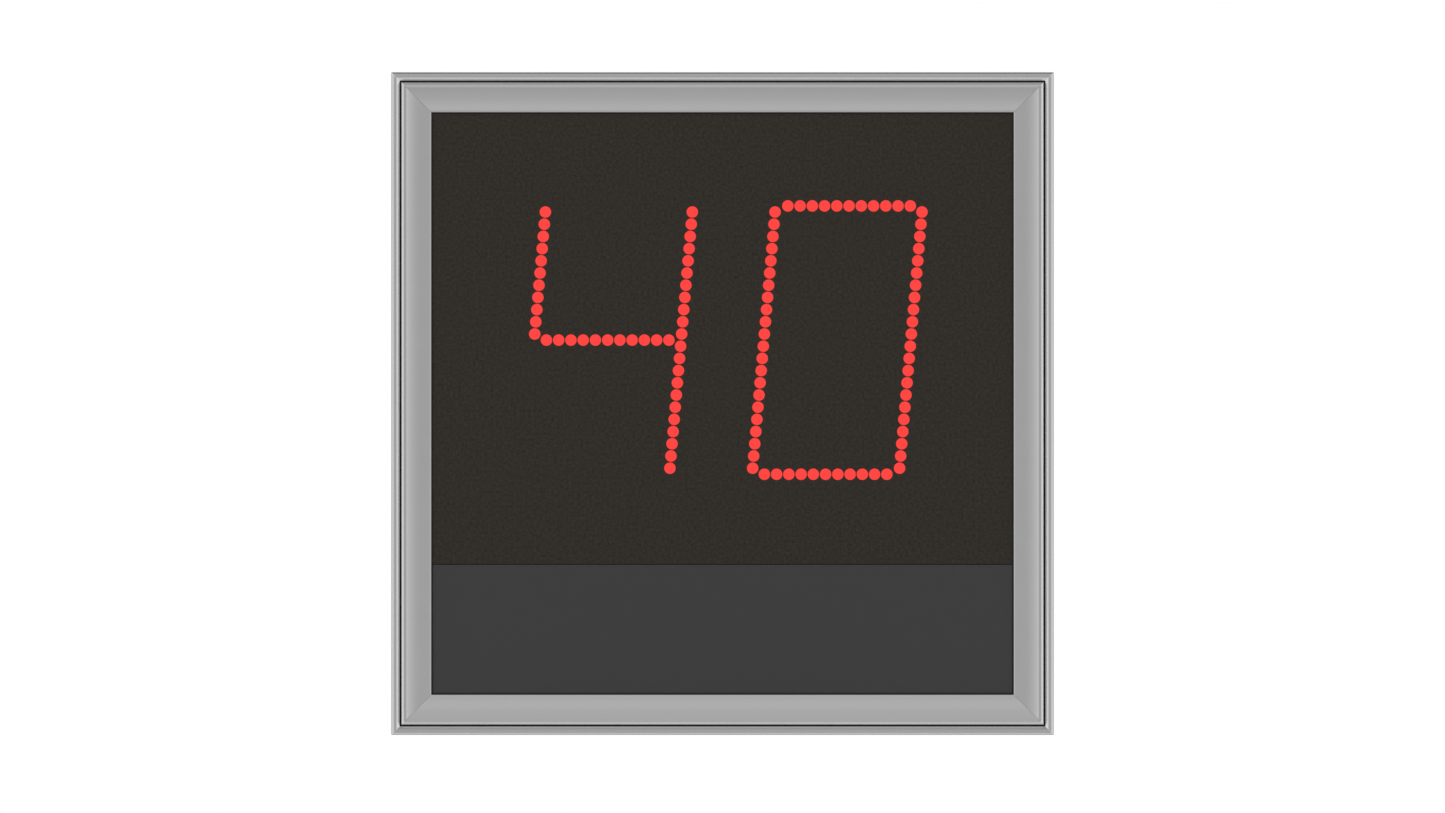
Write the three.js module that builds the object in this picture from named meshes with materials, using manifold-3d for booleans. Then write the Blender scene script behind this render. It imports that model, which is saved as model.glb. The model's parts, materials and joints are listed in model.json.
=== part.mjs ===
// Solar speed sign: a shallow aluminium case with a side-hinged front door. The door carries a
// dead-front LED display over a strip of solar module, and the case holds the battery and controls.
//
// Millimetres. +X is to the right as a driver sees the sign, +Y points away from the driver and +Z is
// up. The origin is the middle of the pole bracket's rear face, so the sign lies at negative Y.

import * as THREE from "three";
import { mergeVertices } from "three/addons/utils/BufferGeometryUtils.js";
import Module from "manifold-3d";

const wasm = await Module();
wasm.setup();

// ---------------------------------------------------------------- driving dimensions

const SIGN = 600; // outside of the square door
const RIM_FRONT = -160; // front plane of the door frame
const FIT = 0.3; // air left between pieces that touch
const MITRE_GAP = 0.08; // half the gap left in a mitred corner
const SHEET = 2.5; // wall of the aluminium profiles

// Door frame, as distances in from its outer edge.
const RIM_WIDTH = 7.6;
const GROOVE = 1.4;
const BEZEL_OUTER = RIM_WIDTH + GROOVE;
const BEZEL_INNER = 36;
const SHELF_REACH = 44;
const REAR_FLANGE = 24;

// Depths through the door, front to back.
const MASK_FRONT = -149.8;
const MASK_THICK = 3;
const MASK_BACK = MASK_FRONT + MASK_THICK;
const SHELF_FRONT = MASK_BACK + FIT;
const SHELF_BACK = SHELF_FRONT + SHEET;
const DOOR_BACK = -135.3;
const MASK_HALF = SIGN / 2 - 12; // the glazing reaches under the bezel
const SEAM_Z = -145.8; // middle of the joint between mask and solar module
const SEAM = 0.9;

// Digits: two figures of seven segments with eleven LEDs each, leaning to the right.
const LED_PITCH = 11.1;
const LEDS = 11;
const LED_R = 5.3;
const LED_FRONT = -149.9; // the lenses stand just proud of the mask
const SLANT = THREE.MathUtils.degToRad(5);
const DIGIT_X = 104.1;
const DIGIT_Z = 57.5;
const COLUMNS = LEDS + 1; // pitches between the two upright strokes
const BAR_R = 5.4; // half the width of the bar a segment's LEDs stand on
const BAR_FRONT = -146.3;
const BAR_BACK = -139.8;
const BOARD_BACK = -137.9;
const RAIL_LEVELS = { upper: 95, lower: -30 }; // cross rails behind the digits
const CROSS_WEB = -130;

// Case
const CASE = 584;
const CASE_FRONT = -132;
const CASE_BACK = -42;
const FLANGE = 16;
const PANEL_FRONT = CASE_BACK - SHEET;
const PLATE_FRONT = -56; // mounting plate that carries battery and controls
const PLATE_THICK = 1.5;
const [VENT_X, VENT_Y] = [-150, -90]; // drain vent in the bottom wall
const [GLAND_X, GLAND_Z] = [215, -215]; // cable gland in the back panel

// Hinge along the left edge, behind the door's rim.
const HINGE_X = -296.2;
const HINGE_Y = -131;
const KNUCKLE_R = 3.4;
const PIN_R = 1.5;
const HINGE_LENGTH = 560;
const KNUCKLES = 10;

// Quarter-turn locks in the right wall.
const LOCK_Y = -112;
const LOCK_Z = 150;
const CAM_X = 266;
const CAM_THICK = 3.5;

// Rear fixings
const RAIL_Z = 170;
const RAIL_LENGTH = 480;
const RAIL_HEIGHT = 40;
const RAIL_BACK = -20;
const BRACKET_LENGTH = 440;
const BAND_Z = 110; // height of the strap slots above and below the middle

// ---------------------------------------------------------------- materials

const paint = (color, roughness, metalness) =>
  new THREE.MeshStandardMaterial({ color, roughness, metalness });
const satinAluminium = paint(0xa8a8aa, 0.35, 1);
const millAluminium = paint(0x9c9ea1, 0.45, 1);
const maskBlack = paint(0x35322d, 0.6, 0);
const solarGrey = paint(0x404040, 0.5, 0);
const sealBlack = paint(0x151515, 0.8, 0);
const ledRed = paint(0xfc4642, 0.4, 0);
const ledSmoke = paint(0x2a2725, 0.4, 0);
const boardGreen = paint(0x1d4a2e, 0.5, 0);
const zinc = paint(0xb6b8ba, 0.4, 1);
const plasticGrey = paint(0x6d7074, 0.6, 0);
const plasticBlack = paint(0x202124, 0.5, 0);
const batteryGrey = paint(0x4a4d52, 0.6, 0);
const buttonRed = paint(0xb02a22, 0.5, 0);

const sign = new THREE.Group();

function add(name, geometry, material) {
  const mesh = new THREE.Mesh(geometry, material);
  mesh.name = name;
  sign.add(mesh);
  return mesh;
}

// ---------------------------------------------------------------- solids

function solid(geometry) {
  const bare = new THREE.BufferGeometry();
  const flat = geometry.index ? geometry.toNonIndexed() : geometry;
  bare.setAttribute("position", flat.getAttribute("position").clone());
  const merged = mergeVertices(bare, 1e-4);
  return new wasm.Manifold(
    new wasm.Mesh({
      numProp: 3,
      vertProperties: merged.getAttribute("position").array,
      triVerts: new Uint32Array(merged.index.array),
    }),
  );
}

function geometryOf(body) {
  const mesh = body.getMesh();
  const geometry = new THREE.BufferGeometry();
  geometry.setAttribute("position", new THREE.BufferAttribute(mesh.vertProperties, 3));
  geometry.setIndex(new THREE.BufferAttribute(mesh.triVerts, 1));
  geometry.computeVertexNormals();
  return geometry;
}

const join = (...pieces) => geometryOf(pieces.map(solid).reduce((a, b) => a.add(b)));
const cut = (piece, ...tools) =>
  geometryOf(tools.map(solid).reduce((a, b) => a.subtract(b), solid(piece)));

// A block between two corners.
function block([x0, y0, z0], [x1, y1, z1]) {
  const geometry = new THREE.BoxGeometry(x1 - x0, y1 - y0, z1 - z0);
  return geometry.translate((x0 + x1) / 2, (y0 + y1) / 2, (z0 + z1) / 2);
}

// A round bar from one point along +X, +Y or +Z.
function rod(axis, [x, y, z], length, radius, sides = 16) {
  const geometry = new THREE.CylinderGeometry(radius, radius, length, sides);
  geometry.translate(0, length / 2, 0);
  if (axis === "x") geometry.rotateZ(-Math.PI / 2);
  if (axis === "z") geometry.rotateX(Math.PI / 2);
  return geometry.translate(x, y, z);
}

// A closed outline from [a, b] points, or from curve points.
const outline = (points) => new THREE.Shape(points.map(([a, b]) => new THREE.Vector2(a, b)));

// Points of an arc from start to end that bulges by sag to the left of its direction.
function arc([ax, ay], [bx, by], sag, steps) {
  const chord = Math.hypot(bx - ax, by - ay);
  const normal = [-(by - ay) / chord, (bx - ax) / chord];
  const points = [];
  for (let i = 0; i <= steps; i++) {
    const t = i / steps;
    const rise = 4 * sag * t * (1 - t);
    points.push([ax + (bx - ax) * t + normal[0] * rise, ay + (by - ay) * t + normal[1] * rise]);
  }
  return points;
}

// An outline in the x-z plane, from one depth to another.
function plate(shape, y0, y1) {
  const options = { depth: y1 - y0, bevelEnabled: false, curveSegments: 4 };
  const geometry = new THREE.ExtrudeGeometry(shape, options);
  return geometry.rotateX(Math.PI / 2).translate(0, y1, 0);
}

// One side of a mitred square frame. The section's points are [distance in from the outer edge, y].
function frameSide(section, size, turns) {
  const geometry = new THREE.ExtrudeGeometry(outline(section), { depth: 1, bevelEnabled: false });
  const position = geometry.getAttribute("position");
  for (let i = 0; i < position.count; i++) {
    const inward = position.getX(i);
    const end = position.getZ(i) < 0.5 ? 1 : -1;
    const reach = size / 2 - inward - MITRE_GAP;
    position.setXYZ(i, end * reach, position.getY(i), inward - size / 2);
  }
  geometry.computeVertexNormals();
  return geometry.rotateY((turns * Math.PI) / 2);
}

const SIDES = ["bottom", "right", "top", "left"];

function addFrame(prefix, section, size, material) {
  SIDES.forEach((side, i) => add(`${prefix}_${side}`, frameSide(section, size, -i), material));
}

// A flat ring with square corners, in the x-z plane.
function ring(outer, inner, y0, y1) {
  const square = (half) => [[-half, -half], [half, -half], [half, half], [-half, half]];
  const shape = outline(square(outer / 2));
  shape.holes.push(outline(square(inner / 2)));
  return plate(shape, y0, y1);
}

// ---------------------------------------------------------------- door frame

function doorRim() {
  const wall = 2.2;
  const corner = 2.8;
  const chamferWidth = 2.6;
  const chamferDepth = 2.2;
  const rounded = arc([0, RIM_FRONT + corner], [corner, RIM_FRONT], -0.15 * corner, 6);
  addFrame(
    "door_rim",
    [
      [0, DOOR_BACK],
      ...rounded,
      [RIM_WIDTH - chamferWidth, RIM_FRONT],
      [RIM_WIDTH, RIM_FRONT + chamferDepth],
      [RIM_WIDTH, SHELF_FRONT],
      [SHELF_REACH, SHELF_FRONT],
      [SHELF_REACH, SHELF_BACK],
      [wall, SHELF_BACK],
      [wall, DOOR_BACK - SHEET],
      [REAR_FLANGE, DOOR_BACK - SHEET],
      [REAR_FLANGE, DOOR_BACK],
    ].reverse(),
    SIGN,
    satinAluminium,
  );
}

function doorBezel() {
  const foot = 2;
  const front = RIM_FRONT;
  const lipBack = MASK_FRONT - FIT;
  addFrame(
    "door_bezel",
    [
      [BEZEL_OUTER, SHELF_FRONT - FIT],
      [BEZEL_OUTER, front + 2.2],
      [BEZEL_OUTER + 0.5, front + 1.4],
      [BEZEL_OUTER + 2.4, front],
      [13.8, front + 0.35],
      [14.4, front + 0.7],
      ...arc([15, front + 1.05], [34.4, front + 7.6], 0.92, 14),
      [35.2, front + 7.9],
      [BEZEL_INNER, front + 8.3],
      [BEZEL_INNER, lipBack],
      [BEZEL_OUTER + foot, lipBack],
      [BEZEL_OUTER + foot, SHELF_FRONT - FIT],
    ].reverse(),
    SIGN,
    satinAluminium,
  );
}

function doorSeal() {
  const outer = SIGN - 2 * (RIM_WIDTH + FIT);
  const inner = SIGN - 2 * (BEZEL_OUTER - FIT);
  add("groove_seal", ring(outer, inner, RIM_FRONT + 3, SHELF_FRONT - FIT), sealBlack);
}

// ---------------------------------------------------------------- door face

function doorFace() {
  const x = MASK_HALF;
  const mask = block([-x, MASK_FRONT, SEAM_Z + SEAM / 2], [x, MASK_BACK, x]);
  add("display_mask", cut(mask, ...maskSlots()), maskBlack);
  const module = block([-x, MASK_FRONT, -x], [x, MASK_BACK, SEAM_Z - SEAM / 2]);
  add("solar_module", module, solarGrey);

  const barReach = SIGN / 2 - SHELF_REACH - FIT;
  const barHalf = 9;
  const bar = block(
    [-barReach, SHELF_FRONT, SEAM_Z - barHalf],
    [barReach, SHELF_BACK, SEAM_Z + barHalf],
  );
  add("seam_bar", bar, millAluminium);

  const junctionBox = block([-32, SHELF_FRONT, -240], [32, -131, -196]);
  add("solar_junction_box", junctionBox, plasticBlack);

  const radar = block([-30, SHELF_FRONT, -134], [30, -129, -80]);
  const radarLid = block([-26, -130, -130], [26, -127, -84]);
  add("radar_sensor", join(radar, radarLid), plasticGrey);
}

// ---------------------------------------------------------------- digits

const DIGITS = { tens: -DIGIT_X, units: DIGIT_X };

// Each segment's middle as [columns from the digit's middle, rows up], and whether it stands upright.
const SEGMENTS = {
  a: [0, LEDS, false],
  b: [COLUMNS / 2, LEDS / 2, true],
  c: [COLUMNS / 2, -LEDS / 2, true],
  d: [0, -LEDS, false],
  e: [-COLUMNS / 2, -LEDS / 2, true],
  f: [-COLUMNS / 2, LEDS / 2, true],
  g: [0, 0, false],
};

// The sign shows 40: these segments are lit.
const LIT = { tens: "bcfg", units: "abcdef" };

// A place on a digit, given in columns and rows, moved over by the figures' lean.
const digitX = (digit, column, row) =>
  DIGITS[digit] + (column + row * Math.sin(SLANT)) * LED_PITCH;
const digitZ = (row) => DIGIT_Z + row * LED_PITCH * Math.cos(SLANT);

// A bar with round ends that reaches around a straight row of LEDs.
function rowShape(count, radius) {
  const run = ((count - 1) * LED_PITCH) / 2;
  const shape = new THREE.Shape();
  shape.absarc(run, 0, radius, -Math.PI / 2, Math.PI / 2);
  return shape.absarc(-run, 0, radius, Math.PI / 2, (3 * Math.PI) / 2);
}

// The openings each digit shines through: three level rows and two upright strokes.
function maskSlots() {
  const [y0, y1] = [MASK_FRONT - 1, MASK_BACK + 1];
  const radius = LED_R + FIT;
  const slots = [];
  for (const digit of Object.keys(DIGITS)) {
    for (const row of [-LEDS, 0, LEDS]) {
      const slot = plate(rowShape(LEDS, radius), y0, y1);
      slots.push(slot.translate(digitX(digit, 0, row), 0, digitZ(row)));
    }
    for (const column of [-COLUMNS / 2, COLUMNS / 2]) {
      const slot = plate(rowShape(2 * LEDS, radius), y0, y1).rotateY(SLANT - Math.PI / 2);
      slots.push(slot.translate(digitX(digit, column, 0), 0, digitZ(0)));
    }
  }
  return slots;
}

// A bar with a row of round LEDs on its front, along X about its own middle.
function ledBar() {
  const leds = [];
  for (let i = 0; i < LEDS; i++) {
    const along = (i - (LEDS - 1) / 2) * LED_PITCH;
    leds.push(rod("y", [along, LED_FRONT, 0], BAR_FRONT + 1 - LED_FRONT, LED_R, 8));
  }
  return join(plate(rowShape(LEDS, BAR_R), BAR_FRONT, BAR_BACK), ...leds);
}

function digits() {
  const bar = ledBar();
  for (const digit of Object.keys(DIGITS)) {
    for (const [segment, [column, row, upright]] of Object.entries(SEGMENTS)) {
      const material = LIT[digit].includes(segment) ? ledRed : ledSmoke;
      const mesh = add(`${digit}_segment_${segment}`, bar, material);
      mesh.position.set(digitX(digit, column, row), 0, digitZ(row));
      mesh.rotation.y = upright ? SLANT - Math.PI / 2 : 0;
    }
    add(`${digit}_board`, digitBoard(DIGITS[digit]), boardGreen);
  }
}

// A digit's circuit board with the posts that stand it off from the cross rails.
function digitBoard(x) {
  const [halfWidth, halfHeight] = [90, 134];
  const board = block(
    [x - halfWidth, BAR_BACK + FIT, DIGIT_Z - halfHeight],
    [x + halfWidth, BOARD_BACK, DIGIT_Z + halfHeight],
  );
  const posts = [];
  for (const z of Object.values(RAIL_LEVELS)) {
    for (const dx of [-75, 75]) {
      const length = CROSS_WEB - 1.5 - FIT - BOARD_BACK;
      posts.push(rod("y", [x + dx, BOARD_BACK - 0.5, z], length + 0.5, 4, 8));
    }
  }
  return join(board, ...posts);
}

// Hat-section rails across the door that carry the digit boards.
function crossRails() {
  const foot = SHELF_BACK + FIT;
  const sheet = 1.5;
  const web = CROSS_WEB;
  const legX = 258;
  const footX = 272;
  const section = outline([
    [-footX, foot],
    [-legX + sheet, foot],
    [-legX + sheet, web - sheet],
    [legX - sheet, web - sheet],
    [legX - sheet, foot],
    [footX, foot],
    [footX, foot + sheet],
    [legX, foot + sheet],
    [legX, web],
    [-legX, web],
    [-legX, foot + sheet],
    [-footX, foot + sheet],
  ]);
  const height = 36;
  for (const [name, z] of Object.entries(RAIL_LEVELS)) {
    const rail = new THREE.ExtrudeGeometry(section, { depth: height, bevelEnabled: false });
    add(`cross_rail_${name}`, rail.translate(0, 0, z - height / 2), millAluminium);
  }
}

// ---------------------------------------------------------------- hinge

// Five knuckles and the leaf that joins them, tab by tab. first says which knuckles are its own.
function hingeLeaf(first, leafPlate, tab) {
  const pitch = HINGE_LENGTH / KNUCKLES;
  const knuckle = pitch - 0.4;
  const pieces = [leafPlate];
  const bores = [];
  for (let i = first; i < KNUCKLES; i += 2) {
    const z = -HINGE_LENGTH / 2 + i * pitch + 0.2;
    pieces.push(rod("z", [HINGE_X, HINGE_Y, z], knuckle, KNUCKLE_R, 12), tab(z, z + knuckle));
    bores.push(rod("z", [HINGE_X, HINGE_Y, z - 1], knuckle + 2, PIN_R + 0.25, 12));
  }
  return cut(join(...pieces), ...bores);
}

function hinge() {
  const sheet = 1.5;
  const end = HINGE_LENGTH / 2 - 0.2;
  const clear = KNUCKLE_R + 0.4;

  const wallSide = -CASE / 2 - FIT;
  const caseLeafStart = HINGE_Y + clear;
  const caseLeaf = block([wallSide - sheet, caseLeafStart, -end], [wallSide, HINGE_Y + 26, end]);
  const caseTab = (z0, z1) =>
    block([wallSide - sheet, HINGE_Y + 0.5, z0], [wallSide, caseLeafStart + 1, z1]);
  add("hinge_leaf_case", hingeLeaf(0, caseLeaf, caseTab), millAluminium);

  const doorSide = DOOR_BACK + FIT;
  const doorLeafStart = HINGE_X + clear;
  const doorLeaf = block([doorLeafStart, doorSide, -end], [-285.5, doorSide + sheet, end]);
  const doorTab = (z0, z1) =>
    block([HINGE_X, doorSide, z0], [doorLeafStart + 1, doorSide + sheet, z1]);
  add("hinge_leaf_door", hingeLeaf(1, doorLeaf, doorTab), millAluminium);

  const pin = rod("z", [HINGE_X, HINGE_Y, -HINGE_LENGTH / 2], HINGE_LENGTH, PIN_R, 12);
  add("hinge_pin", pin, zinc);
}

// ---------------------------------------------------------------- case

function caseShell() {
  const section = [
    [0, CASE_FRONT],
    [FLANGE, CASE_FRONT],
    [FLANGE, CASE_FRONT + SHEET],
    [SHEET, CASE_FRONT + SHEET],
    [SHEET, PANEL_FRONT - FIT - SHEET],
    [12, PANEL_FRONT - FIT - SHEET],
    [12, PANEL_FRONT - FIT],
    [SHEET, PANEL_FRONT - FIT],
    [SHEET, CASE_BACK],
    [0, CASE_BACK],
  ];
  const walls = SIDES.map((_, i) => frameSide(section, CASE, -i));
  const right = SIDES.indexOf("right");
  const holes = [-LOCK_Z, LOCK_Z].map((z) => rod("x", [CASE / 2 - 5, LOCK_Y, z], 10, 8.3));
  walls[right] = cut(walls[right], ...holes);
  const bottom = SIDES.indexOf("bottom");
  walls[bottom] = cut(walls[bottom], rod("z", [VENT_X, VENT_Y, -CASE / 2 - 5], 10, 6.3));
  SIDES.forEach((side, i) => add(`case_wall_${side}`, walls[i], satinAluminium));

  const half = CASE / 2 - SHEET - FIT;
  const panel = block([-half, PANEL_FRONT, -half], [half, CASE_BACK, half]);
  const glandHole = rod("y", [GLAND_X, PANEL_FRONT - 1, GLAND_Z], 6, 10.3);
  add("back_panel", cut(panel, glandHole), satinAluminium);

  const seal = ring(CASE - 16, CASE - 2 * FLANGE, DOOR_BACK + FIT, CASE_FRONT - FIT);
  add("case_gasket", seal, sealBlack);
}

function caseFittings() {
  const wall = -CASE / 2;
  const cap = rod("z", [VENT_X, VENT_Y, wall - 4], 4 - FIT, 10, 12);
  const stem = rod("z", [VENT_X, VENT_Y, wall - 1], 14, 6, 12);
  add("vent_plug", join(cap, stem), plasticBlack);

  const body = rod("y", [GLAND_X, PANEL_FRONT - 8, GLAND_Z], 16, 10, 12);
  const collar = rod("y", [GLAND_X, CASE_BACK + FIT, GLAND_Z], 7, 13.5, 6);
  const dome = rod("y", [GLAND_X, CASE_BACK + 6, GLAND_Z], 12, 11.5, 12);
  add("cable_gland", join(body, collar, dome), plasticBlack);
}

// ---------------------------------------------------------------- locks

// A lock's moving spindle and lever, pointing forwards (unlocked), and the housing it turns in.
function locks() {
  const outside = CASE / 2 + FIT;
  const spindleR = 4.2;
  const camLength = 20;
  const camHalf = 6.5;
  const housingEnd = CAM_X + CAM_THICK + FIT;
  for (const [name, z] of [["upper", LOCK_Z], ["lower", -LOCK_Z]]) {
    const head = rod("x", [outside, LOCK_Y, z], 2.7, 12, 20);
    const barrel = rod("x", [housingEnd, LOCK_Y, z], outside + 1 - housingEnd, 8, 16);
    const bore = rod("x", [housingEnd - 1, LOCK_Y, z], 40, spindleR + 0.3, 12);
    add(`lock_housing_${name}`, cut(join(head, barrel), bore), zinc);

    const spindle = rod("x", [CAM_X, LOCK_Y, z], outside + 2 - CAM_X, spindleR, 12);
    const boss = rod("x", [CAM_X, LOCK_Y, z], CAM_THICK, camHalf, 12);
    const lever = block(
      [CAM_X, LOCK_Y - camLength, z - camHalf],
      [CAM_X + CAM_THICK, LOCK_Y, z + camHalf],
    );
    const slot = block([outside + 0.8, LOCK_Y - 3, z - 0.7], [outside + 3, LOCK_Y + 3, z + 0.7]);
    add(`lock_cam_${name}`, cut(join(spindle, boss, lever), slot), zinc);
  }
}

// Door strikers: a plate back into the case with a lip that the turned cam stands in front of.
function strikers() {
  const sheet = 2;
  const plateX = 258.5;
  const lipX = 272.5;
  const lipY = LOCK_Y + 7.5;
  const foot = SHELF_BACK + FIT;
  for (const [name, z] of [["upper", LOCK_Z - 20], ["lower", -LOCK_Z - 20]]) {
    const [low, high] = [z - 9, z + 9];
    const base = block([plateX, foot, low], [plateX + 13, foot + sheet, high]);
    const arm = block([plateX, foot, low], [plateX + sheet, lipY + sheet, high]);
    const lip = block([plateX, lipY, low], [lipX, lipY + sheet, high]);
    add(`striker_${name}`, join(base, arm, lip), zinc);
  }
}

// ---------------------------------------------------------------- inside the case

function mountingPlate() {
  const back = PLATE_FRONT + PLATE_THICK;
  const sheet = block([-240, PLATE_FRONT, -240], [240, back, 240]);
  const spacers = [];
  for (const x of [-225, 225]) {
    for (const z of [-225, 225]) {
      spacers.push(rod("y", [x, back - 0.5, z], PANEL_FRONT - FIT - back + 0.5, 5, 8));
    }
  }
  const nearGland = block([195, PLATE_FRONT - 1, -241], [241, back + 1, -195]);
  const kept = spacers.filter((_, i) => i !== 2);
  add("mounting_plate", cut(join(sheet, ...kept), nearGland), zinc);
}

function battery() {
  const [length, depth, height] = [151, 65, 94];
  const left = -225;
  const bottom = -236;
  const back = PLATE_FRONT - 1.5 - 2 * FIT;
  const pack = block([left, back - depth, bottom], [left + length, back, bottom + height]);
  const top = bottom + height;
  const terminals = [left + 25, left + length - 25].map((x) =>
    block([x - 3, back - 20, top - 1], [x + 3, back - 13, top + 6]),
  );
  add("battery", join(pack, ...terminals), batteryGrey);

  const sheet = 1.5;
  const [x0, x1] = [left + 30, left + length - 30];
  const tray = bottom - FIT - sheet;
  const front = back - depth - FIT;
  const upright = block([x0, PLATE_FRONT - FIT - sheet, tray], [x1, PLATE_FRONT - FIT, bottom + 70]);
  const shelf = block([x0, front - sheet, tray], [x1, PLATE_FRONT - FIT, tray + sheet]);
  const lip = block([x0, front - sheet, tray], [x1, front, bottom + 25]);
  add("battery_bracket", join(upright, shelf, lip), zinc);
}

const UNIT = { x0: -120, x1: 80, z0: 60, z1: 190, front: -101 };
const ROCKER = { x: 45, z: 150, halfX: 6, halfZ: 9.5, tilt: THREE.MathUtils.degToRad(10) };
const BUTTON = { x: 45, z: 100, r: 5 };

function controls() {
  const back = PLATE_FRONT - FIT;
  const housing = block([UNIT.x0, UNIT.front, UNIT.z0], [UNIT.x1, back, UNIT.z1]);
  const switchWell = block(
    [ROCKER.x - ROCKER.halfX - 0.6, UNIT.front - 1, ROCKER.z - 11.5],
    [ROCKER.x + ROCKER.halfX + 0.6, UNIT.front + 12, ROCKER.z + 11.5],
  );
  const buttonWell = rod("y", [BUTTON.x, UNIT.front - 1, BUTTON.z], 11, BUTTON.r + 0.5, 16);
  add("control_unit", cut(housing, switchWell, buttonWell), plasticGrey);

  // The rocker's face is two planes that meet over its pivot, so one half is always pressed in.
  const face = Math.tan(ROCKER.tilt) * ROCKER.halfZ;
  const side = outline([
    [-3.2, -ROCKER.halfZ],
    [4, -ROCKER.halfZ + 1.5],
    [4, ROCKER.halfZ - 1.5],
    [-3.2, ROCKER.halfZ],
    [-3.2 + face, 0],
  ]);
  const width = 2 * ROCKER.halfX;
  const rocker = new THREE.ExtrudeGeometry(side, { depth: width, bevelEnabled: false });
  rocker.rotateX(Math.PI / 2).rotateZ(Math.PI / 2);
  rocker.center().rotateX(ROCKER.tilt);
  const rockerMesh = add("power_rocker", rocker, plasticBlack);
  rockerMesh.position.set(ROCKER.x, UNIT.front + 2.5, ROCKER.z);

  const button = rod("y", [BUTTON.x, UNIT.front - 3, BUTTON.z], 9, BUTTON.r, 16);
  add("test_button", button, buttonRed);

  const charger = block([20, -92, -150], [160, back, -85]);
  const fins = [];
  for (let i = 0; i < 7; i++) {
    const x = 30 + i * 20;
    fins.push(block([x, -99, -145], [x + 3, -91, -90]));
  }
  add("charge_controller", join(charger, ...fins), plasticBlack);
}

// The cable loom: out of the control unit, up beside the hinge, where it bends as the door
// swings, then across to the tens board.
function loom() {
  const route = [
    [-120.6, -82, 78],
    [-128, -82, 78],
    [-146, -85, 70],
    [-185, -96, 42],
    [-232, -108, 30],
    [-258, -114, 44],
    [-266, -114, 80],
    [-266, -114, 120],
    [-266, -114, 160],
    [-262, -115, 186],
    [-246, -119, 198],
    [-220, -124, 196],
    [-192, -126, 182],
    [-174, -128, 170],
    [-168.6, -131.5, 166],
    [-168, -136.6, 165.5],
  ].map((p) => new THREE.Vector3(...p));
  const path = new THREE.CatmullRomCurve3(route, false, "centripetal");
  const section = new THREE.Shape().absarc(0, 0, 3.5, 0, 2 * Math.PI);
  const options = { steps: 44, extrudePath: path, curveSegments: 5, bevelEnabled: false };
  add("door_loom", new THREE.ExtrudeGeometry(section, options), sealBlack);
}

// ---------------------------------------------------------------- rear fixings

function rails() {
  const front = CASE_BACK + FIT;
  const lip = 9;
  const half = RAIL_HEIGHT / 2;
  const section = outline([
    [front, -half],
    [RAIL_BACK, -half],
    [RAIL_BACK, -half + lip],
    [RAIL_BACK - SHEET, -half + lip],
    [RAIL_BACK - SHEET, -half + SHEET],
    [front + SHEET, -half + SHEET],
    [front + SHEET, half - SHEET],
    [RAIL_BACK - SHEET, half - SHEET],
    [RAIL_BACK - SHEET, half - lip],
    [RAIL_BACK, half - lip],
    [RAIL_BACK, half],
    [front, half],
  ]);
  for (const [name, z] of [["upper", RAIL_Z], ["lower", -RAIL_Z]]) {
    const rail = new THREE.ExtrudeGeometry(section, { depth: RAIL_LENGTH, bevelEnabled: false });
    rail.rotateX(Math.PI / 2).rotateZ(Math.PI / 2).translate(-RAIL_LENGTH / 2, 0, z);
    add(`rear_rail_${name}`, rail, millAluminium);
  }
}

// Hat-section bracket down the back, with slots through its legs for the pole's steel bands.
function poleBracket() {
  const sheet = 4;
  const web = 38;
  const foot = 68;
  const footFront = RAIL_BACK + FIT;
  const section = outline([
    [-foot, footFront],
    [-web + sheet, footFront],
    [-web + sheet, -sheet],
    [web - sheet, -sheet],
    [web - sheet, footFront],
    [foot, footFront],
    [foot, footFront + sheet],
    [web, footFront + sheet],
    [web, 0],
    [-web, 0],
    [-web, footFront + sheet],
    [-foot, footFront + sheet],
  ]);
  const hat = new THREE.ExtrudeGeometry(section, { depth: BRACKET_LENGTH, bevelEnabled: false });
  hat.translate(0, 0, -BRACKET_LENGTH / 2);
  const slots = [-BAND_Z, BAND_Z].map((z) => block([-50, -15, z - 12], [50, -5.5, z + 12]));
  add("pole_bracket", cut(hat, ...slots), zinc);
}

// ---------------------------------------------------------------- assembly

doorRim();
doorBezel();
doorSeal();
doorFace();
digits();
crossRails();
hinge();
caseShell();
caseFittings();
locks();
strikers();
mountingPlate();
battery();
controls();
loom();
rails();
poleBracket();

export default sign;
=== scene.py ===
"""Solar speed sign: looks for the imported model, with the fittings too fine for the CAD."""

import json
import math

import bmesh
import bpy
from mathutils import Matrix, Vector


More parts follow.
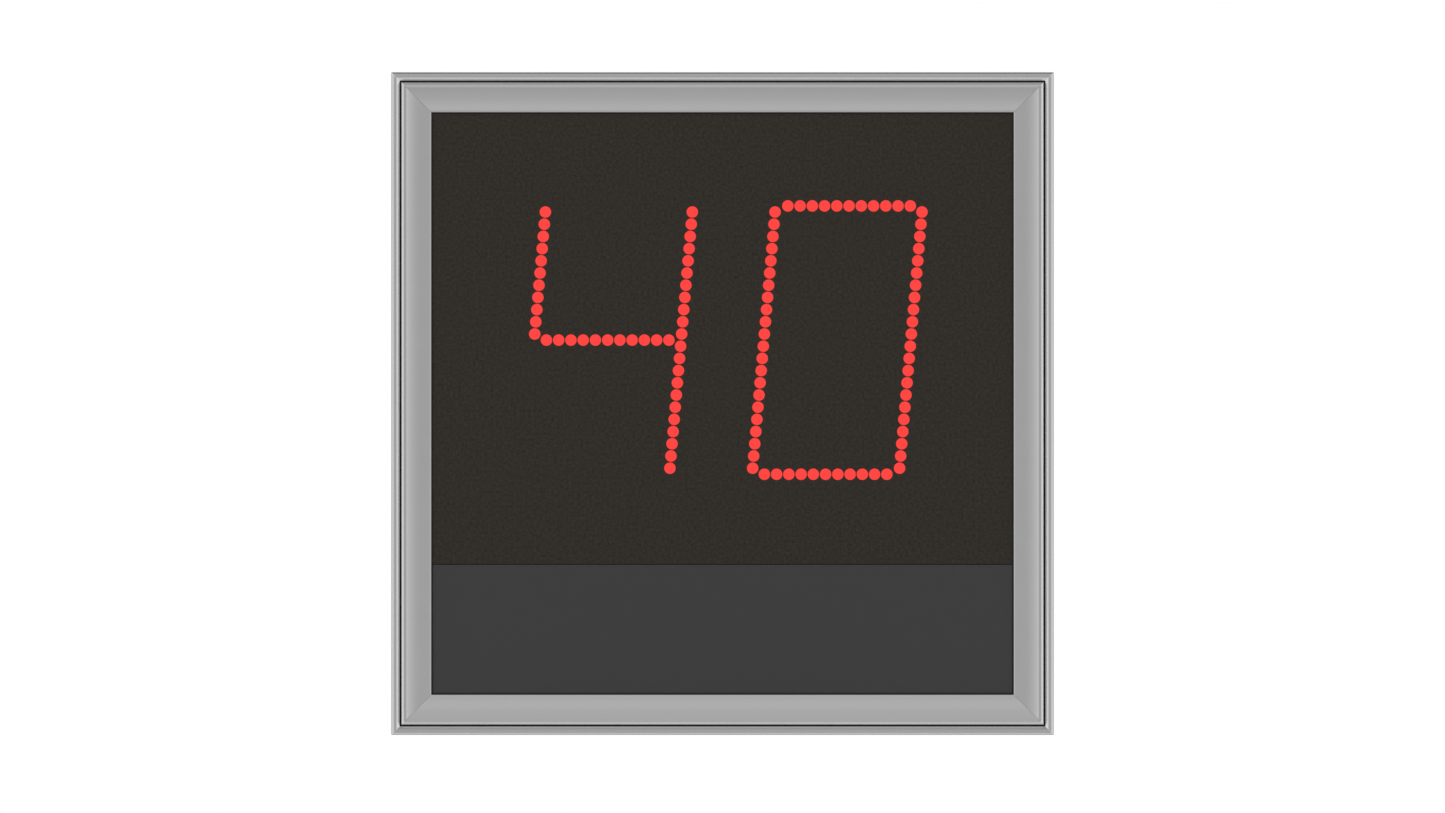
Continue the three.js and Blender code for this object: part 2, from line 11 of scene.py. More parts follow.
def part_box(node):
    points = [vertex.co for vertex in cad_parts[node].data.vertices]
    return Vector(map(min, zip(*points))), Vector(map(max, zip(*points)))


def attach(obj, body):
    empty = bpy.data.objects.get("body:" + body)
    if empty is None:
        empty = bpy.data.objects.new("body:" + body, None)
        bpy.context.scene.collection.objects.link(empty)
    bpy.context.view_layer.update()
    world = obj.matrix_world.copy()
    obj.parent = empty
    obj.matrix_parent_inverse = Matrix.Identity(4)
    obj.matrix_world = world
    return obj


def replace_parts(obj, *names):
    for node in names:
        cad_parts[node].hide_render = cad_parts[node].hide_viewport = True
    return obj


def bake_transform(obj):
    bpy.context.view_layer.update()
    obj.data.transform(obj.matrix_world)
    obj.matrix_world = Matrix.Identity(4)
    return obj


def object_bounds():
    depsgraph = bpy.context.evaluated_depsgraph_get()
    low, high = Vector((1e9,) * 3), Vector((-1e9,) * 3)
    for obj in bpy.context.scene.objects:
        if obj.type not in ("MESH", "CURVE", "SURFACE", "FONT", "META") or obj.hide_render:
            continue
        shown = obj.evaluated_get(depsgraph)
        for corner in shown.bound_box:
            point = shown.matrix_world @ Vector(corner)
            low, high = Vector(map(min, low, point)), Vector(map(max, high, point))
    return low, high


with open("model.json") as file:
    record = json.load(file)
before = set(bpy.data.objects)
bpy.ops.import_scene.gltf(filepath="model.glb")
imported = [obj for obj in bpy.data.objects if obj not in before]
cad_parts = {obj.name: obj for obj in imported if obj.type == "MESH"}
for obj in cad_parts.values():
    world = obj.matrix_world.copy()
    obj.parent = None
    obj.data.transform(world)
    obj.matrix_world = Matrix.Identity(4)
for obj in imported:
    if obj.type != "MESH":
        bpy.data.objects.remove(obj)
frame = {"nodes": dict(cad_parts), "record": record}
cad_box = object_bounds()
nodes = frame["nodes"]

MM = 0.001  # pieces are built in millimetres, and piece() brings them to metres

RIGHT, LEFT = (1, 0, 0), (-1, 0, 0)
BACK, FRONT = (0, 1, 0), (0, -1, 0)
UP = (0, 0, 1)


def box(node):
    """A CAD node's lowest and highest corners, in millimetres."""
    return [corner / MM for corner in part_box(node)]


# ---------------------------------------------------------------- driving dimensions

# Display, in millimetres.
LED_PITCH = 11.1
LEDS = 11
LENS_R = 5.2
LENS_SIDES = 28
SLANT = math.radians(5)
DIGIT_Z = 57.5
DIGIT_X = {"tens": -104.1, "units": 104.1}
LIT = {"tens": "bcfg", "units": "abcdef"}
BAR_R = 5.4
BAR_FRONT = -146.3
BAR_BACK = -139.8
BOARD_BACK = -137.9
HEADER_X = (-64, 56)  # the boards' headers, from the digit's middle
HEADER_Z = DIGIT_Z + 108
WINDOW_GAP = 0.02  # between a lens and the edge of its window in the film
FILM_THICK = 0.2
FILM_FRONT = box("display_mask")[0].y - 0.22

# Door and case, in millimetres.
LEAF_THICK = 1.8  # how far the case's hinge leaf stands off its wall
LEAF_BACK = -133.5  # rear face of the door's hinge leaf
SHELF_BACK = box("seam_bar")[1].y  # rear face of the door frame's inner shelf
CLEAT_INNER = 257.5
CLEAT_WIDTH = 20
CLEAT_ARM = 62
CLEAT_BACK = SHELF_BACK + 2
LID_DROP = 6  # from the tops of the battery's terminals down to its lid
CHARGER_PITCH = 15  # between the charge controller's terminals
LEAD_R = 1.9
BATTERY_LEAD_R = 2.1
LOOM_R = 3.5

# Camera, floor and overhead light, in metres.
VIEW_WIDTH = 1.3077  # what the camera takes in at the sign's front
CAMERA_BACK = 6.0
CAMERA_DROP = 0.0027
FLOOR_Y = -0.08
FLOOR_Z = -0.5
FLOOR_R = 1.9
LIGHT_AT = Vector((0, 0.9, 2.4))
LIGHT_SIZE = 2.4
LIGHT_POWER = 55

# How much brighter the studio is than straight ahead, as (sine of the angle, difference).
STUDIO_AHEAD = 0.37
STUDIO_SIDE = [
    (0.0, 0.0),
    (0.58, -0.01),
    (0.7, 0.05),
    (0.8, 0.125),
    (0.88, 0.24),
    (0.95, 0.42),
    (0.985, 0.46),
    (1.0, 0.14),
]
STUDIO_UP = [(0.0, 0.0), (0.27, 0.09), (0.42, 0.14), (0.55, 0.13), (0.7, 0.07), (0.86, 0.1), (1.0, -0.1)]
STUDIO_DOWN = [(0.0, 0.0), (0.27, 0.15), (0.36, 0.13), (0.6, 0.05), (0.77, 0.04), (0.86, -0.04), (1.0, 0.4)]
STUDIO_BEHIND = [(0.0, 0.0), (0.12, -0.22), (0.4, -0.24), (0.62, 0.1), (1.0, 0.05)]

# Each segment's middle as (columns from the digit's middle, rows up) and whether it stands upright.
SEGMENTS = {
    "a": (0, LEDS, False),
    "b": (6, LEDS / 2, True),
    "c": (6, -LEDS / 2, True),
    "d": (0, -LEDS, False),
    "e": (-6, -LEDS / 2, True),
    "f": (-6, LEDS / 2, True),
    "g": (0, 0, False),
}


# ---------------------------------------------------------------- camera, light and floor


def make_camera():
    """Straight ahead of the sign and a little below its middle."""
    data = bpy.data.cameras.new("camera")
    data.lens = data.sensor_width * CAMERA_BACK / VIEW_WIDTH
    data.clip_end = 50
    camera = bpy.data.objects.new("camera", data)
    camera.location = (0, cad_box[0].y - CAMERA_BACK, -CAMERA_DROP)
    camera.rotation_euler = (math.pi / 2, 0, 0)
    bpy.context.scene.collection.objects.link(camera)
    bpy.context.scene.camera = camera


class Nodes:
    """A short way to write a node tree."""

    def __init__(self, tree):
        self.tree = tree
        tree.nodes.clear()

    def add(self, kind, *inputs, **settings):
        """A new node with its first inputs linked or set."""
        node = self.tree.nodes.new(kind)
        for key, value in settings.items():
            setattr(node, key, value)
        for i, value in enumerate(inputs):
            self.put(node, i, value)
        return node

    def put(self, node, key, value):
        """Links a socket to a node's input, or sets the input to a value."""
        if value is None:
            return
        if isinstance(value, bpy.types.NodeSocket):
            self.tree.links.new(value, node.inputs[key])
        else:
            node.inputs[key].default_value = value

    def math(self, operation, a, b=None):
        """The output of a Math node."""
        return self.add("ShaderNodeMath", a, b, operation=operation).outputs[0]


def make_world():
    """White backdrop, and a studio round the sign that its metal mirrors, with a ramp to each side."""
    world = bpy.data.worlds.new("studio")
    bpy.context.scene.world = world
    world.use_nodes = True
    n = Nodes(world.node_tree)
    direction = n.add("ShaderNodeTexCoord").outputs["Generated"]
    x, y, z = n.add("ShaderNodeSeparateXYZ", direction).outputs
    level = STUDIO_AHEAD
    for part, stops in [
        (n.math("ABSOLUTE", x), STUDIO_SIDE),
        (z, STUDIO_UP),
        (n.math("MULTIPLY", z, -1.0), STUDIO_DOWN),
        (y, STUDIO_BEHIND),
    ]:
        ramp = n.add("ShaderNodeValToRGB", part)
        elements = ramp.color_ramp.elements
        for at, _ in stops[1:-1]:
            elements.new(at)
        for element, (_, value) in zip(elements, stops):
            element.color = (value + 0.5, value + 0.5, value + 0.5, 1)
        level = n.math("ADD", level, n.math("SUBTRACT", ramp.outputs[0], 0.5))
    studio = n.add("ShaderNodeBackground", (1, 1, 1, 1), level).outputs[0]
    backdrop = n.add("ShaderNodeBackground", (1, 1, 1, 1), 1.0).outputs[0]
    seen = n.add("ShaderNodeLightPath").outputs["Is Camera Ray"]
    mixed = n.add("ShaderNodeMixShader", seen, studio, backdrop)
    n.add("ShaderNodeOutputWorld", mixed.outputs[0])


def make_overhead_light():
    """A large soft light above and behind the sign, for the floor and the back of the case."""
    data = bpy.data.lights.new("overhead", "AREA")
    data.shape = "DISK"
    data.size = LIGHT_SIZE
    data.energy = LIGHT_POWER
    light = bpy.data.objects.new("overhead", data)
    light.location = LIGHT_AT
    light.rotation_euler = (-LIGHT_AT).to_track_quat("-Z", "Y").to_euler()
    light.visible_glossy = False
    bpy.context.scene.collection.objects.link(light)


def make_floor():
    """A round white floor below the sign."""
    mesh = bpy.data.meshes.new("floor")
    bm = bmesh.new()
    place = Matrix.Translation((0, FLOOR_Y, FLOOR_Z))
    bmesh.ops.create_circle(bm, cap_ends=True, segments=96, radius=FLOOR_R, matrix=place)
    bm.to_mesh(mesh)
    bm.free()
    floor = bpy.data.objects.new("floor", mesh)
    bpy.context.scene.collection.objects.link(floor)
    floor.data.materials.append(surface("floor", (0.86, 0.86, 0.86), 0.8, grain=900, bump=0.02))
    floor.visible_glossy = False


# ---------------------------------------------------------------- materials


def surface(
    name,
    color,
    roughness,
    metallic=0.0,
    grain=300.0,
    stretch=(1, 1, 1),
    vary=0.04,
    shade=0.04,
    bump=0.05,
    specular=0.5,
    coat=0.0,
):
    """A Principled surface whose colour, roughness and relief vary a little with fine noise.

    grain is the noise's scale per metre, stretch its shape along the three axes, vary and shade how
    far roughness and colour move, and bump the relief's strength.
    """
    material = bpy.data.materials.new(name)
    material.use_nodes = True
    n = Nodes(material.node_tree)
    place = n.add("ShaderNodeTexCoord").outputs["Object"]
    place = n.add("ShaderNodeMapping", place).outputs[0]
    place.node.inputs["Scale"].default_value = stretch
    fine = n.add("ShaderNodeTexNoise", place)
    fine.inputs["Scale"].default_value = grain
    fine.inputs["Detail"].default_value = 4
    broad = n.add("ShaderNodeTexNoise", place)
    broad.inputs["Scale"].default_value = grain / 25
    broad.inputs["Detail"].default_value = 2
    speckle = n.add("ShaderNodeMapRange", fine.outputs[0], 0.0, 1.0, 1 - shade, 1 + shade)
    tint = n.add("ShaderNodeVectorMath", tuple(color), speckle.outputs[0], operation="MULTIPLY")
    gloss = n.add("ShaderNodeMapRange", broad.outputs[0], 0.0, 1.0, roughness - vary, roughness + vary)
    relief = n.add("ShaderNodeBump")
    relief.inputs["Strength"].default_value = bump
    relief.inputs["Distance"].default_value = 0.0002
    n.put(relief, "Height", fine.outputs[0])
    shader = n.add("ShaderNodeBsdfPrincipled")
    n.put(shader, "Base Color", tint.outputs[0])
    n.put(shader, "Roughness", gloss.outputs[0])
    n.put(shader, "Normal", relief.outputs[0])
    n.put(shader, "Metallic", metallic)
    n.put(shader, "Specular IOR Level", specular)
    n.put(shader, "Coat Weight", coat)
    n.add("ShaderNodeOutputMaterial", shader.outputs[0])
    return material


def lit_lens():
    """A lens lit evenly from behind: its glow is the same all over, with a trace of moulded grain."""
    material = surface("lit_lens", (0.1, 0.006, 0.005), 0.5, grain=900, bump=0.02, specular=0.05)
    shader = material.node_tree.nodes["Principled BSDF"]
    shader.inputs["Emission Color"].default_value = (1.0, 0.061, 0.054, 1)
    shader.inputs["Emission Strength"].default_value = 0.97
    return material


MASK_COLOR = (0.0572, 0.0504, 0.0411)
MASK_FINISH = {"grain": 380, "shade": 0.52, "specular": 0.1}

LOOKS = {
    "satin": surface("satin_aluminium", (0.86, 0.86, 0.87), 0.24, 1, grain=1600, bump=0.03, shade=0.01),
    "mill": surface(
        "mill_aluminium", (0.62, 0.63, 0.64), 0.36, 1, grain=700, stretch=(0.05, 1, 1), bump=0.08
    ),
    "mask": surface("mask_black", MASK_COLOR, 0.7, **MASK_FINISH),
    "film": surface("film_black", MASK_COLOR, 0.7, **MASK_FINISH),
    "solar": surface("solar_grey", (0.0894, 0.0894, 0.0894), 0.6, grain=4000, shade=0, specular=0.1),
    "seal": surface("seal_rubber", (0.012, 0.012, 0.012), 0.7, grain=1200),
    "foam": surface("gasket_foam", (0.02, 0.02, 0.021), 0.9, grain=1500, bump=0.4),
    "smoke": surface("smoked_lens", MASK_COLOR, 0.7, **MASK_FINISH),
    "bar": surface("bar_black", (0.012, 0.012, 0.012), 0.6, grain=900),
    "board": surface("circuit_board", (0.012, 0.062, 0.026), 0.35, grain=500, coat=0.3),
    "zinc": surface("zinc_steel", (0.58, 0.60, 0.62), 0.32, 1, grain=500, bump=0.1),
    "galvanised": surface("galvanised_steel", (0.50, 0.52, 0.54), 0.42, 1, grain=120, vary=0.1, shade=0.12),
    "grey": surface("grey_plastic", (0.15, 0.162, 0.175), 0.55, grain=1800, bump=0.25),
    "black": surface("black_plastic", (0.016, 0.017, 0.019), 0.5, grain=1800, bump=0.2),
    "controller": surface("controller_black", (0.02, 0.021, 0.025), 0.4, 0.6, grain=1400),
    "battery": surface("battery_case", (0.07, 0.075, 0.085), 0.5, grain=1500, bump=0.2),
    "jacket": surface("cable_jacket", (0.01, 0.01, 0.011), 0.5, grain=2500, bump=0.3),
    "red": surface("red_plastic", (0.42, 0.025, 0.016), 0.35, grain=1500),
    "terminal": surface("terminal_green", (0.03, 0.16, 0.06), 0.45, grain=1800, bump=0.1),
    "white": surface("back_sheet_white", (0.72, 0.73, 0.73), 0.5, grain=900, bump=0.1),
    "webbing": surface("strap_webbing", (0.02, 0.02, 0.022), 0.8, grain=900, stretch=(0.3, 1, 1), bump=0.6),
    "braid": surface("braided_sleeve", (0.018, 0.018, 0.02), 0.6, grain=1100, shade=0.3, bump=0.7),
    "wire_red": surface("red_wire", (0.35, 0.02, 0.015), 0.42, grain=2500, bump=0.1),
    "wire_grey": surface("grey_wire", (0.36, 0.37, 0.38), 0.45, grain=2500, bump=0.1),
    "duct": surface("duct_grey", (0.30, 0.31, 0.32), 0.55, grain=1600, bump=0.15),
    "lamp_green": surface("green_lamp", (0.03, 0.30, 0.06), 0.25, grain=1500),
    "lamp_amber": surface("amber_lamp", (0.55, 0.22, 0.02), 0.25, grain=1500),
    "lit": lit_lens(),
}

# Which material each of the record's slots takes.
SLOT_LOOKS = {
    "satin_aluminium": "satin",
    "mill_aluminium": "mill",
    "mask_black": "mask",
    "solar_grey": "solar",
    "seal_rubber": "seal",
    "gasket_foam": "foam",
    "led_lit": "lit",
    "led_unlit": "smoke",
    "circuit_board": "board",
    "zinc_steel": "zinc",
    "galvanised_steel": "galvanised",
    "grey_plastic": "grey",
    "black_plastic": "black",
    "controller_black": "controller",
    "battery_case": "battery",
    "cable_jacket": "jacket",
    "red_plastic": "red",
}


def dress_nodes():
    """Gives each CAD node its slot's material."""
    for part in frame["record"]["subparts"]:
        materials = nodes[part["node"]].data.materials
        materials.clear()
        materials.append(LOOKS[SLOT_LOOKS[part["material_slot"]]])


# ---------------------------------------------------------------- meshes


def piece(name, bm, body, slot, *looks):
    """Turns a bmesh into a piece that rides on a body, or on none. Faces pick a look by index."""
    mesh = bpy.data.meshes.new(name)
    bm.transform(Matrix.Scale(MM, 4))
    bm.normal_update()
    bm.to_mesh(mesh)
    bm.free()
    obj = bpy.data.objects.new(name, mesh)
    bpy.context.scene.collection.objects.link(obj)
    for look in looks:
        mesh.materials.append(LOOKS[look])
    smooth_by_angle(mesh)
    if body:
        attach(obj, body)
    return obj


def smooth_by_angle(mesh, degrees=35):
    """Shades smoothly, but keeps edges sharper than the angle."""
    mesh.shade_smooth()
    mesh.set_sharp_from_angle(angle=math.radians(degrees))


def skin(bm, loops, look=0, ends="capped"):
    """Faces between loops of points. The two end loops are capped, joined to each other or left open."""
    rings = [[bm.verts.new(point) for point in loop] for loop in loops]
    following = rings[1:] + (rings[:1] if ends == "joined" else [])
    for a, b in zip(rings, following):
        for i, _ in enumerate(a):
            j = (i + 1) % len(a)
            bm.faces.new((a[i], a[j], b[j], b[i])).material_index = look
    if ends == "capped":
        bm.faces.new(rings[0][::-1]).material_index = look
        bm.faces.new(rings[-1]).material_index = look
    return rings


def round_places(x, y, radius, count):
    """Points spaced evenly round a circle."""
    for i in range(count):
        a = 2 * math.pi * i / count
        yield x + radius * math.cos(a), y + radius * math.sin(a)


# ---------------------------------------------------------------- display


def led_places(digit, segment):
    """The middles of a segment's LEDs, as (x, z)."""
    column, row, upright = SEGMENTS[segment]
    for i in range(LEDS):
        step = i - (LEDS - 1) / 2
        c = column + (0 if upright else step)
        r = row + (step if upright else 0)
        x = DIGIT_X[digit] + (c + r * math.sin(SLANT)) * LED_PITCH
        yield x, DIGIT_Z + r * LED_PITCH * math.cos(SLANT)


def make_film():
    """A thin dark film over the mask, with a round window over each LED."""
    lo, hi = box("display_mask")
    curve = bpy.data.curves.new("display_film", "CURVE")
    curve.dimensions = "2D"
    curve.fill_mode = "BOTH"
    outlines = [[(lo.x, lo.z), (hi.x, lo.z), (hi.x, hi.z), (lo.x, hi.z)]]
    for digit in DIGIT_X:
        for segment in SEGMENTS:
            for x, z in led_places(digit, segment):
                outlines.append(list(round_places(x, z, LENS_R + WINDOW_GAP, LENS_SIDES)))
    for points in outlines:
        spline = curve.splines.new("POLY")
        spline.points.add(len(points) - 1)
        for point, (x, z) in zip(spline.points, points):
            point.co = (x, z, 0, 1)
        spline.use_cyclic_u = True
    curve.extrude = FILM_THICK / 2
    shape = bpy.data.objects.new("film_shape", curve)
    bpy.context.scene.collection.objects.link(shape)
    bpy.context.view_layer.update()
    graph = bpy.context.evaluated_depsgraph_get()
    mesh = bpy.data.meshes.new_from_object(shape.evaluated_get(graph))
    bpy.data.objects.remove(shape)
    bm = bmesh.new()
    bm.from_mesh(mesh)
    turn = Matrix.Rotation(math.pi / 2, 4, "X")
    bm.transform(Matrix.Translation((0, FILM_FRONT + FILM_THICK / 2, 0)) @ turn)
    bmesh.ops.remove_doubles(bm, verts=bm.verts, dist=0.001)
    piece("display_film", bm, "door", "mask_black", "film")


def add_dome(bm, x, z, look):
    """A low round lens, facing forward, on a short stem that runs back into its bar."""
    rings = [
        (LENS_R * 0.98, BAR_FRONT + 0.3),
        (LENS_R, FILM_FRONT + 0.1),
        (LENS_R, FILM_FRONT + 0.01),
        (LENS_R * 0.97, FILM_FRONT - 0.02),
        (LENS_R * 0.75, FILM_FRONT - 0.06),
        (LENS_R * 0.40, FILM_FRONT - 0.09),
    ]
    loops = []
    for radius, y in rings:
        loops.append([(px, y, pz) for px, pz in round_places(x, z, radius, LENS_SIDES)])
    made = skin(bm, loops, look, "open")
    bm.faces.new(made[0][::-1]).material_index = look
    tip = bm.verts.new((x, FILM_FRONT - 0.10, z))
    for a, b in zip(made[-1], made[-1][1:] + made[-1][:1]):
        bm.faces.new((a, b, tip)).material_index = look


def add_bar(bm, first, last):
    """The black bar that a segment's LEDs stand on, with round ends."""
    steps = 12
    lean = math.atan2(last[1] - first[1], last[0] - first[0])
    outline = []
    for (x, z), start in ((last, lean - math.pi / 2), (first, lean + math.pi / 2)):
        for i in range(steps + 1):
            a = start + math.pi * i / steps
            outline.append((x + BAR_R * math.cos(a), z + BAR_R * math.sin(a)))
    skin(bm, [[(x, y, z) for x, z in outline] for y in (BAR_FRONT, BAR_BACK)])


def make_segment(digit, segment):
    """A segment's bar with its eleven smooth lenses, in place of the CAD's coarse ones."""
    places = list(led_places(digit, segment))
    bm = bmesh.new()
    add_bar(bm, places[0], places[-1])
    for x, z in places:
        add_dome(bm, x, z, 1)
    bmesh.ops.recalc_face_normals(bm, faces=bm.faces)
    lit = segment in LIT[digit]
    look = "lit" if lit else "smoke"
    slot = "led_lit" if lit else "led_unlit"
    name = f"{digit}_segment_{segment}"
    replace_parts(piece(f"{name}_lenses", bm, "door", slot, "bar", look), name)


def make_display():
    """The film and all fourteen segments."""
    make_film()
    for digit in DIGIT_X:
        for segment in SEGMENTS:
            make_segment(digit, segment)


# ---------------------------------------------------------------- small solids


def turned(axis):
    """A turn that takes +Z to the given axis."""
    return Vector(axis).to_track_quat("Z", "Y").to_matrix().to_4x4()


def ring_points(radius, count, corners=0):
    """Points round a circle, or round a polygon with that many corners, flat to flat radius."""
    for i in range(count):
        a = 2 * math.pi * (i + 0.5) / count
        r = radius
        if corners:
            half = math.pi / corners
            r = radius / math.cos((a + half) % (2 * half) - half)
        yield r * math.cos(a), r * math.sin(a)


def add_lathe(bm, at, axis, profile, look=0, count=24, ends="capped"):
    """A turned solid. The profile's points are (radius, height) or (radius, height, corners)."""
    place = Matrix.Translation(at) @ turned(axis)
    loops = []
    for radius, height, *corners in profile:
        points = ring_points(radius, count, *corners)
        loops.append([place @ Vector((x, y, height)) for x, y in points])
    skin(bm, loops, look, ends)


def add_ring_lathe(bm, at, axis, profile, look=0, count=24):
    """A turned ring: a lathe whose profile closes on itself, clear of the axis."""
    add_lathe(bm, at, axis, profile, look, count, "joined")


def add_block(bm, lo, hi, look=0, bevel=0.0):
    """A block between two corners, with its edges rounded."""
    made = bmesh.ops.create_cube(bm, size=1)["verts"]
    for v in made:
        v.co = [(a + b) / 2 + c * (b - a) for a, b, c in zip(lo, hi, v.co)]
    for f in {f for v in made for f in v.link_faces}:
        f.material_index = look
    if bevel:
        edges = list(dict.fromkeys(e for v in made for e in v.link_edges))
        rounding = {"offset": bevel, "segments": 3, "affect": "EDGES", "profile": 0.5}
        bmesh.ops.bevel(bm, geom=edges, material=look, **rounding)


def smooth_path(points, steps):
    """Points of a smooth curve through the given ones."""
    points = [Vector(p) for p in points]
    ends = [2 * points[0] - points[1], *points, 2 * points[-1] - points[-2]]
    path = []
    for a, b, c, d in zip(ends, ends[1:], ends[2:], ends[3:]):
        for i in range(steps):
            t = i / steps
            bend = (2 * a - 5 * b + 4 * c - d) * t * t + (3 * b - a - 3 * c + d) * t**3
            path.append(b + ((c - a) * t + bend) / 2)
    path.append(points[-1])
    return path


def add_tube(bm, path, radius, look=0, count=12):
    """A round tube along a path, closed at its ends."""
    loops = []
    for before, point, after in zip([path[0], *path], path, [*path[1:], path[-1]]):
        along = (after - before).normalized()
        side = Vector(UP).cross(along)
        if side.length < 0.1:
            side = Vector(BACK).cross(along)
        side.normalize()
        if loops and side.dot(across) < 0:
            side.negate()
        across = side
        over = along.cross(across)
        loops.append([point + across * x + over * y for x, y in ring_points(radius, count)])
    skin(bm, loops, look)


def add_screw(bm, at, axis, radius=3, look=0):
    """A button-head screw with a hexagon socket."""
    h = radius * 0.55
    profile = [
        (radius, 0),
        (radius, 0.25 * h),
        (0.93 * radius, 0.55 * h),
        (0.75 * radius, 0.85 * h),
        (0.55 * radius, h),
        (0.40 * radius, h, 6),
        (0.38 * radius, 0.3 * h, 6),
    ]
    add_lathe(bm, at, axis, profile, look)


def add_bolt(bm, at, axis, radius=6.5, look=0):
    """A hexagon bolt head on a washer."""
    washer = 0.25 * radius
    top = washer + 0.8 * radius
    profile = [
        (1.35 * radius, 0),
        (1.38 * radius, 0.3 * washer),
        (1.35 * radius, washer),
        (0.98 * radius, washer),
        (radius, washer, 6),
        (radius, top - 0.15 * radius, 6),
        (0.97 * radius, top),
    ]
    add_lathe(bm, at, axis, profile, look)


def add_rivet(bm, at, axis, radius=3.4, look=0):
    """A blind rivet's domed head with the end of its mandrel in the middle."""
    h = 0.35 * radius
    profile = [
        (radius, 0),
        (0.95 * radius, 0.4 * h),
        (0.7 * radius, 0.85 * h),
        (0.42 * radius, h),
        (0.36 * radius, 0.75 * h),
        (0.32 * radius, 0.75 * h),
        (0.26 * radius, 0.95 * h),
    ]
    add_lathe(bm, at, axis, profile, look, count=20)


def spread(first, last, count):
    """Evenly spaced numbers from first to last."""
    return [first + (last - first) * i / (count - 1) for i in range(count)]


# ---------------------------------------------------------------- seals


def add_square_ring(bm, half, section):
    """A square ring in the x-z plane. The section's points are (distance in from half, y)."""
    loops = []
    for inward, y in section:
        r = half - inward
        loops.append([(-r, y, -r), (r, y, -r), (r, y, r), (-r, y, r)])
    skin(bm, loops, ends="joined")
    bmesh.ops.recalc_face_normals(bm, faces=bm.faces)


def half_round(start, end, front, back):
    """A section with a flat back and a rounded front."""
    steps = 8
    points = [(start, back)]
    for i in range(steps + 1):
        a = math.pi * i / steps
        across = (start + end) / 2 - (end - start) / 2 * math.cos(a)
        points.append((across, back + (front - back) * (0.4 + 0.6 * math.sin(a))))
    points.append((end, back))
    return points


def make_seals():
    """Glazing bead in the bezel and joint strip under the display, black as painted shadow too; the door's
    soft gasket.
    """
    edge = box("door_bezel_right")[0].x
    bm = bmesh.new()
    # Black rubber bead at the bezel's inner edge: a real bead, and also a painted shadow line round the
    # display.
    add_square_ring(bm, edge, half_round(0.05, 1.3, FILM_FRONT - 0.9, FILM_FRONT))
    piece("glazing_bead_painted_shadow", bm, "door", "seal_rubber", "seal")

    mask, module = box("display_mask"), box("solar_module")
    # Black rubber strip in the seam: a real seal, and also a painted shadow line between display and solar
    # module.
    bm = bmesh.new()
    lo = (mask[0].x, mask[0].y + 0.5, module[1].z + 0.05)
    add_block(bm, lo, (mask[1].x, mask[1].y, mask[0].z - 0.05))
    piece("seam_seal_painted_shadow", bm, "door", "seal_rubber", "seal")

    lo, hi = box("case_gasket")
    bm = bmesh.new()
    add_square_ring(bm, hi.x, half_round(0, 8, lo.y, hi.y))
    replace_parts(piece("soft_gasket", bm, "case", "gasket_foam", "foam"), "case_gasket")


# ---------------------------------------------------------------- case outside


def make_case_fixings():
    """Rivets round the back panel, and screws and rivets down the hinge's two leaves."""
    back = box("back_panel")[1]
    bm = bmesh.new()
    reach = back.x - 6
    places = spread(-reach, reach, 6)
    for side in (-reach, reach):
        for along in places:
            add_rivet(bm, (along, back.y, side), BACK)
        for along in places[1:-1]:
            add_rivet(bm, (side, back.y, along), BACK)
    piece("back_panel_rivets", bm, "case", "mill_aluminium", "mill")

    lo, hi = box("hinge_leaf_case")
    face = box("case_wall_left")[0].x - LEAF_THICK
    bm = bmesh.new()
    for z in spread(lo.z + 14, hi.z - 14, 10):
        add_screw(bm, (face, hi.y - 10, z), LEFT, 2.8)
    piece("hinge_screws_case", bm, "case", "zinc_steel", "zinc")

    lo, hi = box("hinge_leaf_door")
    head = [(2, 0), (1.9, 0.15), (0.8, 0.2), (0.7, 0.05)]
    bm = bmesh.new()
    for z in spread(lo.z + 14, hi.z - 14, 10):
        add_lathe(bm, (hi.x - 3.4, LEAF_BACK, z), BACK, head)
    piece("hinge_rivets_door", bm, "door", "zinc_steel", "zinc")


def make_rear_fixings():
    """Bolts from the bracket into the rails, and rivets that hold the rails."""
    bolts, rivets = bmesh.new(), bmesh.new()
    foot_back = box("pole_bracket")[0].y + 4
    for end in ("upper", "lower"):
        lo, hi = box(f"rear_rail_{end}")
        z = (lo.z + hi.z) / 2
        for x in (-53, 53):
            add_bolt(bolts, (x, foot_back, z), BACK)
        for x in spread(lo.x + 20, hi.x - 20, 8):
            add_rivet(rivets, (x, lo.y + 2.5, z), BACK, 3.6)
    piece("bracket_bolts", bolts, "case", "zinc_steel", "zinc")
    piece("rail_rivets", rivets, "case", "mill_aluminium", "mill")


def make_gland_and_vent():
    """A blanking plug in the unused gland, and grip ribs round the gland's nut and the vent's cap."""
    lo, hi = box("cable_gland")
    x, _, z = (lo + hi) / 2
    bm = bmesh.new()
    plug = [(8, 0), (8, 0.8), (7.2, 1.4), (4, 1.5), (3.2, 1)]
    add_lathe(bm, (x, hi.y, z), BACK, plug, 1)
    for rib_x, rib_z in round_places(x, z, 11.3, 16):
        add_lathe(bm, (rib_x, hi.y - 9, rib_z), BACK, [(0.7, 0), (0.7, 7.5), (0.2, 8.2)], 0, 8)
    piece("gland_nut_and_plug", bm, "case", "black_plastic", "black", "grey")

    lo, hi = box("vent_plug")
    x, y, _ = (lo + hi) / 2
    bm = bmesh.new()
    for rib_x, rib_y in round_places(x, y, 9.6, 20):
        add_lathe(bm, (rib_x, rib_y, lo.z + 0.3), UP, [(0.6, 0), (0.7, 0.5), (0.7, 3)], 0, 8)
    grille = [(2.3, -0.5), (2.6, 0.2), (4.8, 0.2), (5.2, -0.6), (6, -0.5), (6, 0)]
    add_lathe(bm, (x, y, lo.z), UP, grille)
    bmesh.ops.recalc_face_normals(bm, faces=bm.faces)
    piece("vent_cap_ribs", bm, "case", "black_plastic", "black")


